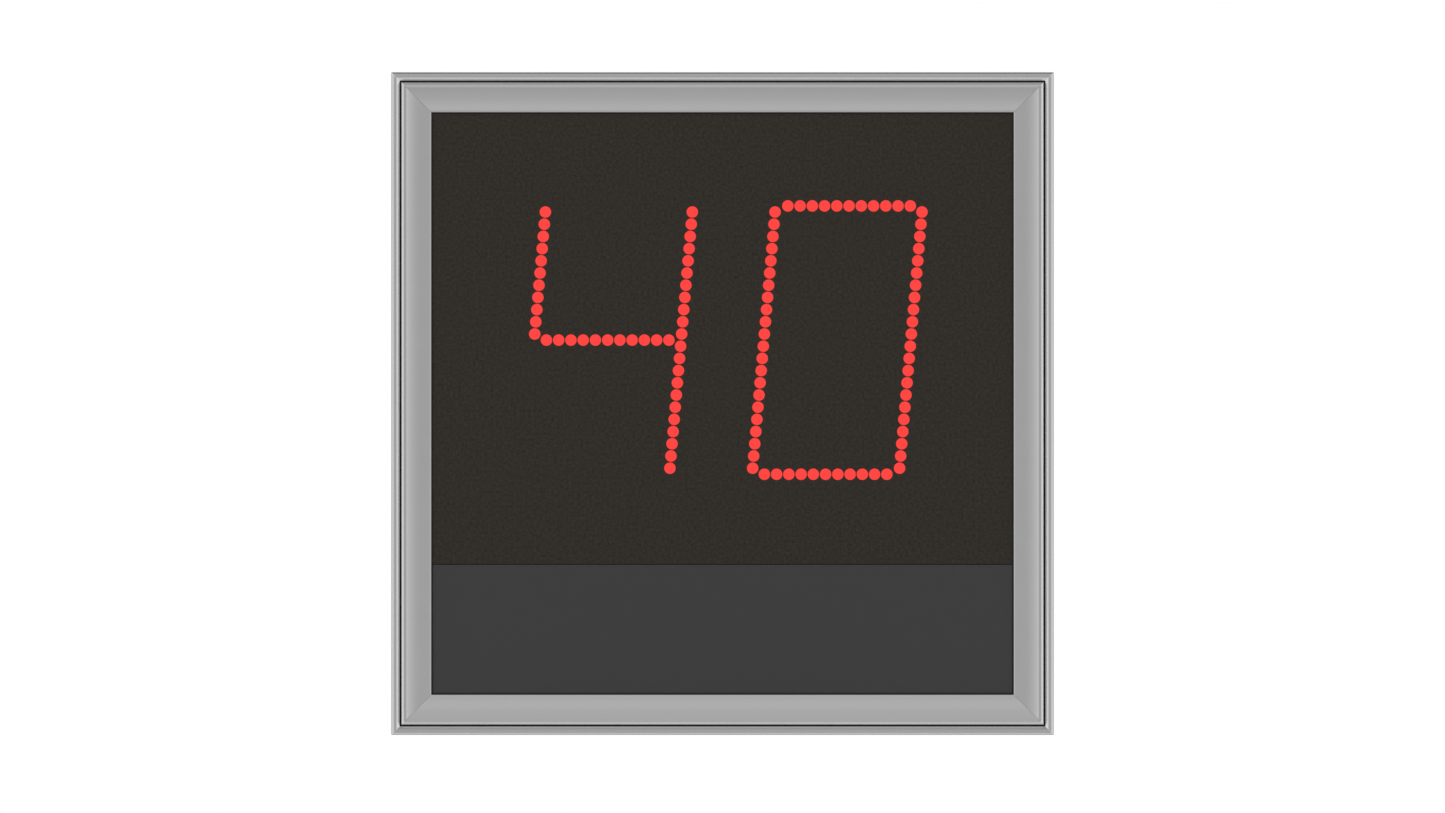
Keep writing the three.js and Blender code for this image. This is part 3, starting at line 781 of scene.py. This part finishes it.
def make_lock_fittings():
    """Each lock's nut and rubber washer, the bolt that holds its cam, and its key insert."""
    wall = box("case_wall_right")[1].x
    nut = [(8.2, 0), (11.5, 0), (12, 0.4, 6), (12, 4, 6), (11.5, 4.4), (8.2, 4.4)]
    washer = [(9.2, 0), (12, 0), (11.6, 0.6), (9.5, 0.7)]
    insert = [(8.2, 0), (8.2, 0.6), (7.8, 1), (4.6, 1), (3.6, 1, 4), (3.6, 0.2, 4)]
    key = 3.5  # half the width of the insert's square socket
    for end in ("upper", "lower"):
        lo, hi = box(f"lock_housing_{end}")
        _, y, z = (lo + hi) / 2
        bm = bmesh.new()
        add_ring_lathe(bm, (wall - 7.2, y, z), RIGHT, nut)
        add_ring_lathe(bm, (hi.x, y, z), RIGHT, washer, 1)
        piece(f"lock_nut_{end}", bm, "case", "zinc_steel", "zinc", "seal")
        bm = bmesh.new()
        add_bolt(bm, (box(f"lock_cam_{end}")[0].x, y, z), LEFT, 3.4)
        add_lathe(bm, (hi.x, y, z), RIGHT, insert, 0, 32)
        add_block(bm, (hi.x + 0.1, y - key, z - key), (hi.x + 0.3, y + key, z + key), 1)
        piece(f"lock_insert_{end}", bm, f"{end}_lock", "zinc_steel", "zinc", "black")


# ---------------------------------------------------------------- inside the case


def make_battery_fittings():
    """The battery's lid, vent caps, terminal collars and bolts, and the ribs on its front."""
    lo, hi = box("battery")
    top = hi.z - LID_DROP
    bm = bmesh.new()
    add_block(bm, (lo.x + 2, lo.y + 2, top), (hi.x - 2, hi.y - 24, top + 2), 0, 0.8)
    cap = [(6, 0), (6, 0.8), (5.4, 1.2), (3, 1.2), (2.6, 0.6)]
    for x in spread(lo.x + 16, hi.x - 16, 6):
        add_lathe(bm, (x, lo.y + 21, top + 2), UP, cap)
    for x, look in ((lo.x + 25, 2), (hi.x - 25, 3)):
        add_lathe(bm, (x, hi.y - 16.5, top), UP, [(8, 0), (8, 1.6), (7.4, 2)], look)
        add_bolt(bm, (x, hi.y - 20, top + 4), FRONT, 3, 1)
    for z in spread(lo.z + 14, top - 12, 5):
        for x in (lo.x + 6, hi.x - 26):
            add_block(bm, (x, lo.y - 0.8, z - 1.2), (x + 20, lo.y + 0.2, z + 1.2), 0, 0.4)
    piece("battery_fittings", bm, "case", "battery_case", "battery", "zinc", "red", "black")


def make_battery_strap():
    """The strap that holds the battery in its bracket, with a three-bar buckle."""
    lo, hi = box("battery")
    top = hi.z - LID_DROP
    middle = (lo.x + hi.x) / 2
    x0, x1 = middle - 12, middle + 12
    loops = []
    for outer, inner in strap_path(lo, hi, top):
        loops.append([(x0, *outer), (x1, *outer), (x1, *inner), (x0, *inner)])
    bm = bmesh.new()
    skin(bm, loops)
    bmesh.ops.recalc_face_normals(bm, faces=bm.faces)
    level = (lo.z + top) / 2 + 14
    for z in (level - 9, level, level + 9):
        add_block(bm, (x0 - 3, lo.y - 5.2, z - 1.6), (x1 + 3, lo.y - 2.8, z + 1.6), 1, 0.7)
    for x in (x0 - 3, x1):
        add_block(bm, (x, lo.y - 5, level - 10.6), (x + 3, lo.y - 3, level + 10.6), 1, 0.7)
    piece("battery_strap", bm, "case", "cable_jacket", "webbing", "zinc")


def strap_path(lo, hi, top):
    """The strap's outer and inner lines in (y, z), up the battery's front and over its top."""
    thick, gap, corner, steps = 1.4, 2.4, 6, 8
    front, over = lo.y - gap, top + gap + 0.4
    start, end = lo.z + 26, hi.y - 3
    path = [((front, start), (front + thick, start))]
    for i in range(steps + 1):
        a = math.pi / 2 * i / steps
        radii = (corner, corner - thick)
        path.append([(front + corner - r * math.cos(a), over - corner + r * math.sin(a)) for r in radii])
    path.append(((end, over), (end, over - thick)))
    return path


def make_control_fittings():
    """The control unit's cover plate, status lights, grille and screws."""
    lo, hi = box("control_unit")
    bm = bmesh.new()
    left, right = lo.x + 8, lo.x + 142
    face, bottom, top = lo.y - 1.2, lo.z + 26, hi.z - 8
    add_block(bm, (left, face, bottom), (right, lo.y + 0.5, top), 1, 0.8)
    for i, look in enumerate((2, 3, 4)):
        lamp = (left + 14 + 12 * i, face, top - 12)
        add_lathe(bm, lamp, FRONT, [(2, 0), (2, 0.4), (1.4, 1.1)], look)
    for z in spread(bottom + 14, bottom + 50, 9):
        add_block(bm, (left + 14, face - 0.5, z - 0.9), (right - 14, face + 0.3, z + 0.9), 0, 0.35)
    add_corner_screws(bm, lo, hi, lo.y, FRONT, 5, 2.8, 5)
    looks = ("grey", "black", "lamp_green", "lamp_amber", "red", "zinc")
    piece("control_panel", bm, "case", "grey_plastic", *looks)


def add_corner_screws(bm, lo, hi, face, axis, inset, radius, look):
    """A screw in each corner of a cover."""
    for x in (lo.x + inset, hi.x - inset):
        for z in (lo.z + inset, hi.z - inset):
            add_screw(bm, (x, face, z), axis, radius, look)


def make_terminal_block():
    """The control unit's plug-in terminals, each with its wire down into the duct."""
    lo = box("control_unit")[0]
    bm = bmesh.new()
    for i in range(12):
        x = lo.x + 18 + 8 * i
        add_block(bm, (x, lo.y - 6, lo.z + 9), (x + 7.6, lo.y + 0.4, lo.z + 22), 0, 0.5)
        add_screw(bm, (x + 3.8, lo.y - 5.6, lo.z + 17), FRONT, 2.2, 1)
        add_tube(bm, wire_tail(x + 3.8, lo), 1.1, 2 + i % 3, 8)
    looks = ("terminal", "zinc", "wire_red", "jacket", "wire_grey")
    piece("terminal_block", bm, "case", "circuit_board", *looks)


def wire_tail(x, lo):
    """A wire out of the bottom of a terminal, down into the duct below."""
    points = [
        (x, lo.y - 2.5, lo.z + 9.5),
        (x, lo.y - 2.5, lo.z + 3),
        (x, lo.y + 3, lo.z - 3),
        (x, lo.y + 16, lo.z - 7),
        (x, lo.y + 23, lo.z - 11),
        (x, lo.y + 24, lo.z - 20),
    ]
    return smooth_path(points, 5)


def make_switches():
    """A frame round the rocker, a collar round the test button, and the button's domed cap."""
    face = box("control_unit")[0].y
    lo, hi = box("power_rocker")
    x, _, z = (lo + hi) / 2
    half_x, half_z, rim = 7.2, 12, 2.4
    front, back = face - 1.1, face + 0.3
    bm = bmesh.new()
    for left in (x - half_x - rim, x + half_x):
        add_block(bm, (left, front, z - half_z - rim), (left + rim, back, z + half_z + rim), 0, 0.5)
    for low in (z - half_z - rim, z + half_z):
        add_block(bm, (x - half_x - rim, front, low), (x + half_x + rim, back, low + rim), 0, 0.5)
    piece("rocker_frame", bm, "case", "black_plastic", "black")

    lo, hi = box("test_button")
    x, _, z = (lo + hi) / 2
    r = (hi.x - lo.x) / 2
    bm = bmesh.new()
    collar = [(r + 0.6, 0.3), (r + 4, 0.3), (r + 4, -0.8), (r + 3.4, -1.3), (r + 1, -1.3), (r + 0.6, -0.9)]
    add_ring_lathe(bm, (x, face, z), BACK, collar, 0, 32)
    bmesh.ops.recalc_face_normals(bm, faces=bm.faces)
    piece("button_collar", bm, "case", "zinc_steel", "zinc")
    bm = bmesh.new()
    cap = [(r, hi.y - lo.y), (r, 0.8), (0.95 * r, 0.3), (0.86 * r, 0.05)]
    cap += [(0.7 * r, 0.15), (0.4 * r, 0.3), (0.1 * r, 0.35)]
    add_lathe(bm, (x, lo.y, z), BACK, cap, 0, 32)
    bmesh.ops.recalc_face_normals(bm, faces=bm.faces)
    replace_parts(piece("test_button_cap", bm, "button", "red_plastic", "red"), "test_button")


def make_charger_fittings():
    """The charge controller's terminals and screws."""
    lo, hi = box("charge_controller")
    bm = bmesh.new()
    for i in range(6):
        x = lo.x + 26 + CHARGER_PITCH * i
        add_block(bm, (x, lo.y + 9, lo.z - 7), (x + 13, lo.y + 21, lo.z + 0.5), 0, 0.8)
        add_screw(bm, (x + 6.5, lo.y + 9.2, lo.z - 3.5), FRONT, 2.8, 1)
    for x in (lo.x + 4.5, hi.x - 4.5):
        for z in (lo.z + 5, hi.z - 5):
            add_screw(bm, (x, lo.y + 7, z), FRONT, 2.4, 1)
    piece("charger_terminals", bm, "case", "controller_black", "black", "zinc")


def charger_terminal(number):
    """The middle of one of the charge controller's terminals, where its wire goes in."""
    lo = box("charge_controller")[0]
    return Vector((lo.x + 32.5 + CHARGER_PITCH * number, lo.y + 15, lo.z - 4))


def make_battery_leads():
    """The leads from the battery's terminals, over its right edge, to the charge controller."""
    lo, hi = box("battery")
    lug_y, lug_z = hi.y - 22.5, hi.z - 2
    leads = (("plus", "wire_red", lo.x + 25), ("minus", "jacket", hi.x - 25))
    for number, (pole, look, x) in enumerate(leads):
        end = charger_terminal(number)
        low = end.z - 14 - 7 * number
        over = max(x + 12, hi.x - 4)
        points = [
            (x, lug_y, lug_z),
            (x + 3, lug_y - 5, lug_z + 10),
            ((x + over) / 2, lug_y - 7, lug_z + 14),
            (over, lug_y - 8, lug_z + 11),
            (over + 26, lug_y - 9, lug_z - 3),
            (end.x - 34, lug_y - 8, low + 5),
            (end.x - 12, end.y - 1, low - 3),
            (end.x - 1, end.y, low + 3),
            end,
        ]
        bm = bmesh.new()
        add_tube(bm, smooth_path(points, 10), BATTERY_LEAD_R)
        add_lathe(bm, points[0], UP, [(3, -1.5), (3.2, 0), (3, 3)], 0, 12)
        piece(f"battery_lead_{pole}", bm, "case", "cable_jacket", look)


def make_load_leads():
    """Two wires from the charge controller round to the end of the wiring duct, tied together."""
    right = box("charge_controller")[1].x
    unit_lo, unit_hi = box("control_unit")
    plate = box("mounting_plate")[0].y
    y = plate - 4
    bm = bmesh.new()
    for k in (0, 1):
        start = charger_terminal(3 + k)
        aside = right + 26 - 5 * k
        low = start.z - 20 + 5 * k
        duct_z = unit_lo.z - 22 - 4 * k
        points = [
            start,
            (start.x, start.y + 1, low + 8),
            (start.x + 8, plate - 12, low + 1),
            (start.x + 24, y, low),
            (aside - 12, y, low),
            (aside - 3, y, low + 3),
            (aside, y, low + 12),
            (aside, y, -80),
            (aside, y, -20),
            (aside, y, unit_lo.z - 38),
            (aside - 4, y - 1, duct_z - 4),
            (aside - 16, y - 4, duct_z),
            (unit_hi.x + 10, y - 8, duct_z),
            (unit_hi.x - 10, y - 9, duct_z),
        ]
        add_tube(bm, smooth_path(points, 8), LEAD_R, k)
    for z in (-110, -50, 5):
        add_block(bm, (right + 17.5, plate - 6.6, z - 1.6), (right + 29.5, plate - 0.1, z + 1.6), 2, 0.7)
    piece("load_leads", bm, "case", "cable_jacket", "wire_red", "jacket", "black")


def make_wiring_duct():
    """A slotted duct on the mounting plate, under the control unit, that takes the terminals' wires."""
    unit_lo, unit_hi = box("control_unit")
    plate = box("mounting_plate")[0].y
    x0, x1 = unit_lo.x + 4, unit_hi.x - 4
    z0, z1 = unit_lo.z - 34, unit_lo.z - 10
    front = plate - 34
    fingers = 20
    pitch = (x1 - x0) / fingers
    bm = bmesh.new()
    add_block(bm, (x0, front, z0), (x1, front + 1.6, z1), 0, 0.7)
    add_block(bm, (x0, plate - 1.6, z0 + 1), (x1, plate - 0.1, z1 - 1), 0, 0.5)
    for i in range(fingers):
        x = x0 + i * pitch
        for z in (z0 + 1, z1 - 2.4):
            add_block(bm, (x + 1.2, front + 1.2, z), (x + pitch - 3.2, plate - 1.2, z + 1.4), 0, 0.4)
    piece("wiring_duct", bm, "case", "grey_plastic", "duct")


def make_plate_screws():
    """Screws that hold the mounting plate and the battery bracket."""
    plate = box("mounting_plate")
    bracket = box("battery_bracket")
    reach = plate[1].x - 15
    bm = bmesh.new()
    for x, z in ((-reach, -reach), (-reach, reach), (reach, reach)):
        add_screw(bm, (x, plate[0].y, z), FRONT, 4)
    for x in (bracket[0].x + 14, bracket[1].x - 14):
        add_screw(bm, (x, bracket[0].y, bracket[0].z + 12), FRONT, 3)
    piece("plate_screws", bm, "case", "zinc_steel", "zinc")


# The loom's route from the control unit to the tens board.
LOOM = [
    (-120.6, -82, 78),
    (-128, -82, 78),
    (-146, -85, 68),
    (-185, -98, 38),
    (-232, -114, 24),
    (-262, -122, 34),
    (-271, -124, 60),
    (-271, -124, 100),
    (-271, -124, 140),
    (-271, -124, 182),
    (-266, -124, 204),
    (-248, -124, 216),
    (-220, -124.5, 210),
    (-194, -126, 190),
    (-174, -128, 172),
    (-168.6, -131.5, 166),
    (-168, -136.6, 165.5),
]
LOOM_CLIPS = (6, 9)  # the route's points on the case's side and on the door's side of the hinge

# The loom's smooth path has LOOM_STEPS points for each of the route's. The bands, and the sleeve where
# the solar leads join it, are at these points of the smooth path.
LOOM_STEPS = 10
LOOM_BANDS = (24, 44, 110, 128, 146)
LOOM_SPLICE = 120


def make_loom():
    """The braided loom, held by a clip on each side of the hinge and twisting between them."""
    path = smooth_path(LOOM, LOOM_STEPS)
    bm = bmesh.new()
    add_tube(bm, path, LOOM_R, 0, 20)
    band = [(3.4, -1.2), (4, -1.1), (4, 1.1), (3.4, 1.2)]
    sleeve = [(3.4, -9), (5, -8), (5, 8), (3.4, 9)]
    for i, profile in [*((i, band) for i in LOOM_BANDS), (LOOM_SPLICE, sleeve)]:
        add_ring_lathe(bm, path[i], path[i + 1] - path[i - 1], profile, 1)
    loom = piece("braided_loom", bm, None, "cable_jacket", "braid", "black")
    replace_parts(loom, "door_loom")
    on_case, on_door = (Vector(LOOM[i]) for i in LOOM_CLIPS)
    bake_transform(loom)
    add_clip("case", on_case, Vector((box("case_wall_left")[0].x + 2.5, on_case.y, on_case.z)))
    add_clip("door", on_door, Vector((on_door.x, SHELF_BACK, on_door.z)))


def add_clip(body, at, end):
    """A P-clip round the upright loom, with a strap that reaches what it is screwed to."""
    bm = bmesh.new()
    add_ring_lathe(bm, at, UP, [(3.6, -5), (4.8, -5), (4.8, 5), (3.6, 5)])
    reach = (end - at).normalized()
    side = Vector(UP).cross(reach)
    up = Vector((0, 0, 5))
    for start, half in ((at + reach * 4.2, side * 0.7), (end - reach * 1.4, side * 7)):
        corners = [start + half, end + half, end - half, start - half]
        skin(bm, [[c - up for c in corners], [c + up for c in corners]])
    bmesh.ops.recalc_face_normals(bm, faces=bm.faces)
    piece(f"loom_clip_{body}", bm, body, "black_plastic", "black")


# ---------------------------------------------------------------- door, rear side


def make_boards():
    """Solder joints, driver chips, resistors and headers on the backs of the two digit boards."""
    joint = [(0.9, 0), (0.6, 0.5), (0.3, 1.1)]
    for digit, middle in DIGIT_X.items():
        bm = bmesh.new()
        for segment in SEGMENTS:
            for x, z in led_places(digit, segment):
                for dx in (-1.3, 1.3):
                    add_lathe(bm, (x + dx, BOARD_BACK, z), BACK, joint, 1, 6)
        for i in range(7):
            for row in (40, -62):
                add_chip(bm, middle - 36 + 12 * i, DIGIT_Z + row)
        for i in range(22):
            for row in (54, 24, -46):
                add_resistor(bm, middle - 37 + 3.5 * i, DIGIT_Z + row)
        for dx in HEADER_X:
            add_header(bm, middle + dx)
        piece(f"{digit}_board_parts", bm, "door", "circuit_board", "black", "zinc")


def add_on_board(bm, x, z, half_x, half_z, height, look, bevel=0.0, base=0.0):
    """A block on the back of a board, by its middle and half its width and height."""
    lo = (x - half_x, BOARD_BACK + base, z - half_z)
    add_block(bm, lo, (x + half_x, BOARD_BACK + height, z + half_z), look, bevel)


def add_chip(bm, x, z):
    """A driver chip with eight legs a side."""
    add_on_board(bm, x, z, 2, 5, 1.8, 0, 0.3)
    for k in range(8):
        add_on_board(bm, x, z + (k - 3.5) * 1.27, 3, 0.2, 0.3, 1)


def add_resistor(bm, x, z):
    """A surface-mount resistor with its two end caps."""
    add_on_board(bm, x, z, 0.6, 1, 0.6, 0)
    for dz in (-1, 1):
        add_on_board(bm, x, z + dz, 0.6, 0.2, 0.5, 1)


def add_header(bm, x):
    """A shrouded two-row header."""
    add_on_board(bm, x, HEADER_Z, 14, 4.5, 5.5, 0, 0.5)
    for i in range(10):
        for row in (-1.27, 1.27):
            add_on_board(bm, x + (i - 4.5) * 2.54, HEADER_Z + row, 0.3, 0.3, 6.3, 1, base=5)


def make_ribbon():
    """The flat cable from one digit board to the other, with a plug at each end."""
    x0, x1 = DIGIT_X["tens"] + HEADER_X[1], DIGIT_X["units"] + HEADER_X[0]
    wires = 10
    bm = bmesh.new()
    for k in range(wires):
        z = HEADER_Z + (k - (wires - 1) / 2) * 0.9
        points = [
            (x0, BOARD_BACK + 6.6, z),
            (x0 + 8, BOARD_BACK + 9, z),
            ((x0 + x1) / 2, BOARD_BACK + 7.4, z),
            (x1 - 8, BOARD_BACK + 9, z),
            (x1, BOARD_BACK + 6.6, z),
        ]
        add_tube(bm, smooth_path(points, 6), 0.5, 1 if k == 0 else 0, 8)
    for x in (x0, x1):
        add_on_board(bm, x, HEADER_Z, 13, 4, 8, 2, 0.5, 5.6)
    piece("ribbon_cable", bm, "door", "cable_jacket", "wire_grey", "wire_red", "black")


def make_corner_cleats():
    """An L-shaped plate in each corner of the door frame."""
    inner, outer = CLEAT_INNER, CLEAT_INNER + CLEAT_WIDTH
    near = outer - CLEAT_ARM
    corners = [(outer, outer), (near, outer), (near, inner), (inner, inner), (inner, near), (outer, near)]
    bm = bmesh.new()
    for sx in (-1, 1):
        for sz in (-1, 1):
            skin(bm, [[(sx * x, y, sz * z) for x, z in corners] for y in (SHELF_BACK, CLEAT_BACK)])
    bmesh.ops.recalc_face_normals(bm, faces=bm.faces)
    piece("corner_cleats", bm, "door", "zinc_steel", "zinc")


def make_door_screws():
    """Screws in the cleats, rails, joint bar and strikers, and nuts on the boards' posts."""
    bm = bmesh.new()
    mid = CLEAT_INNER + 8
    for sx in (-1, 1):
        for sz in (-1, 1):
            for along in (12, 44):
                reach = CLEAT_INNER + CLEAT_WIDTH - along
                add_screw(bm, (sx * reach, CLEAT_BACK, sz * mid), BACK, 2.6)
                add_screw(bm, (sx * mid, CLEAT_BACK, sz * (reach - 4)), BACK, 2.6)
    for end in ("upper", "lower"):
        lo, hi = box(f"cross_rail_{end}")
        z = (lo.z + hi.z) / 2
        for middle in DIGIT_X.values():
            for dx in (-75, 75):
                add_bolt(bm, (middle + dx, hi.y, z), BACK, 3.2)
        for x in (lo.x + 7, hi.x - 7):
            for dz in (-10, 10):
                add_screw(bm, (x, lo.y + 1.5, z + dz), BACK, 2.6)
    lo, hi = box("seam_bar")
    for x in (lo.x + 9, -80, 80, hi.x - 9):
        add_screw(bm, (x, hi.y, (lo.z + hi.z) / 2), BACK, 2.6)
    for end in ("upper", "lower"):
        lo, hi = box(f"striker_{end}")
        for dz in (-4.5, 4.5):
            add_screw(bm, (lo.x + 7, lo.y + 2, (lo.z + hi.z) / 2 + dz), BACK, 2.4)
    piece("door_screws", bm, "door", "zinc_steel", "zinc")


def solar_exits():
    """Where the two solar leads leave the junction box."""
    lo, hi = box("solar_junction_box")
    return [Vector((lo.x, (lo.y + hi.y) / 2 + 1, lo.z + rise)) for rise in (30, 14)]


def make_solar_fittings():
    """The module's white back sheet, and the junction box's lid and glands."""
    lo, hi = box("solar_module")
    inset = 34
    bm = bmesh.new()
    add_block(bm, (lo.x + inset, hi.y + 0.02, lo.z + inset), (hi.x - inset, hi.y + 0.25, hi.z - 12))
    piece("solar_back_sheet", bm, "door", "solar_grey", "white")

    lo, hi = box("solar_junction_box")
    bm = bmesh.new()
    add_block(bm, (lo.x + 1.5, hi.y - 0.3, lo.z + 1.5), (hi.x - 1.5, hi.y + 1.8, hi.z - 1.5), 0, 0.9)
    add_corner_screws(bm, lo, hi, hi.y + 1.7, BACK, 6, 2.2, 1)
    gland = [(5, 0), (5.2, 4, 6), (4.6, 5), (4, 9), (2.6, 10)]
    for at in solar_exits():
        add_lathe(bm, at, LEFT, gland)
    piece("junction_lid", bm, "door", "black_plastic", "black", "zinc")


def make_solar_leads():
    """The leads from the junction box, up behind the door's left side, to the loom's splice."""
    leads = (("plus", "wire_red", -246), ("minus", "jacket", -240))
    for (x, y, z), (pole, look, left) in zip(solar_exits(), leads):
        points = [
            (x - 9, y, z),
            (x - 30, y, z),
            (x - 120, y - 1, z - 8),
            (left + 14, y - 1, z - 2),
            (left, y - 1, z + 20),
            (left, y, -120),
            (left, -136, -40),
            (left, -135, 40),
            (left, -136, 130),
            (left + 1, -133, 180),
            (left + 6, -127, 204),
            (-228, -124.5, 212),
        ]
        bm = bmesh.new()
        add_tube(bm, smooth_path(points, 8), LEAD_R)
        piece(f"solar_lead_{pole}", bm, "door", "cable_jacket", look)


def make_radar_fittings():
    """The radar's screws, ribs and plug, and its short leads to the plug on the board."""
    lo, hi = box("radar_sensor")
    y = (lo.y + hi.y) / 2 - 1
    bm = bmesh.new()
    add_corner_screws(bm, lo, hi, hi.y, BACK, 8, 2.2, 1)
    for z in spread(lo.z + 17, hi.z - 17, 5):
        add_block(bm, (lo.x + 14, hi.y - 0.2, z - 1), (hi.x - 14, hi.y + 0.6, z + 1), 0, 0.4)
    add_block(bm, (-8, y - 4, hi.z - 0.5), (8, y + 4, hi.z + 7), 2, 0.6)
    for k in range(4):
        x = (k - 1.5) * 3
        points = [
            (x, y, hi.z + 5),
            (x, y, hi.z + 14),
            (x * 0.6, y + 1, hi.z + 40),
            (x * 0.5, y + 1, hi.z + 90),
            (x * 0.5 - 6, y + 2, hi.z + 110),
            (x * 0.5 - 18, y + 2, hi.z + 112),
        ]
        add_tube(bm, smooth_path(points, 6), 0.9, 3 + k % 2, 8)
    add_block(bm, (-30, BOARD_BACK, hi.z + 105), (-17, BOARD_BACK + 4.9, hi.z + 119), 2, 0.6)
    looks = ("grey", "zinc", "black", "wire_red", "wire_grey")
    piece("radar_fittings", bm, "door", "grey_plastic", *looks)


# ---------------------------------------------------------------- everything

bpy.context.scene.view_settings.view_transform = "Standard"
bpy.context.scene.view_settings.look = "None"
make_camera()
make_world()
make_overhead_light()
make_floor()
dress_nodes()
make_display()
make_seals()
make_case_fixings()
make_rear_fixings()
make_gland_and_vent()
make_lock_fittings()
make_battery_fittings()
make_battery_strap()
make_control_fittings()
make_terminal_block()
make_switches()
make_charger_fittings()
make_battery_leads()
make_wiring_duct()
make_load_leads()
make_plate_screws()
make_loom()
make_boards()
make_ribbon()
make_corner_cleats()
make_door_screws()
make_solar_fittings()
make_solar_leads()
make_radar_fittings()
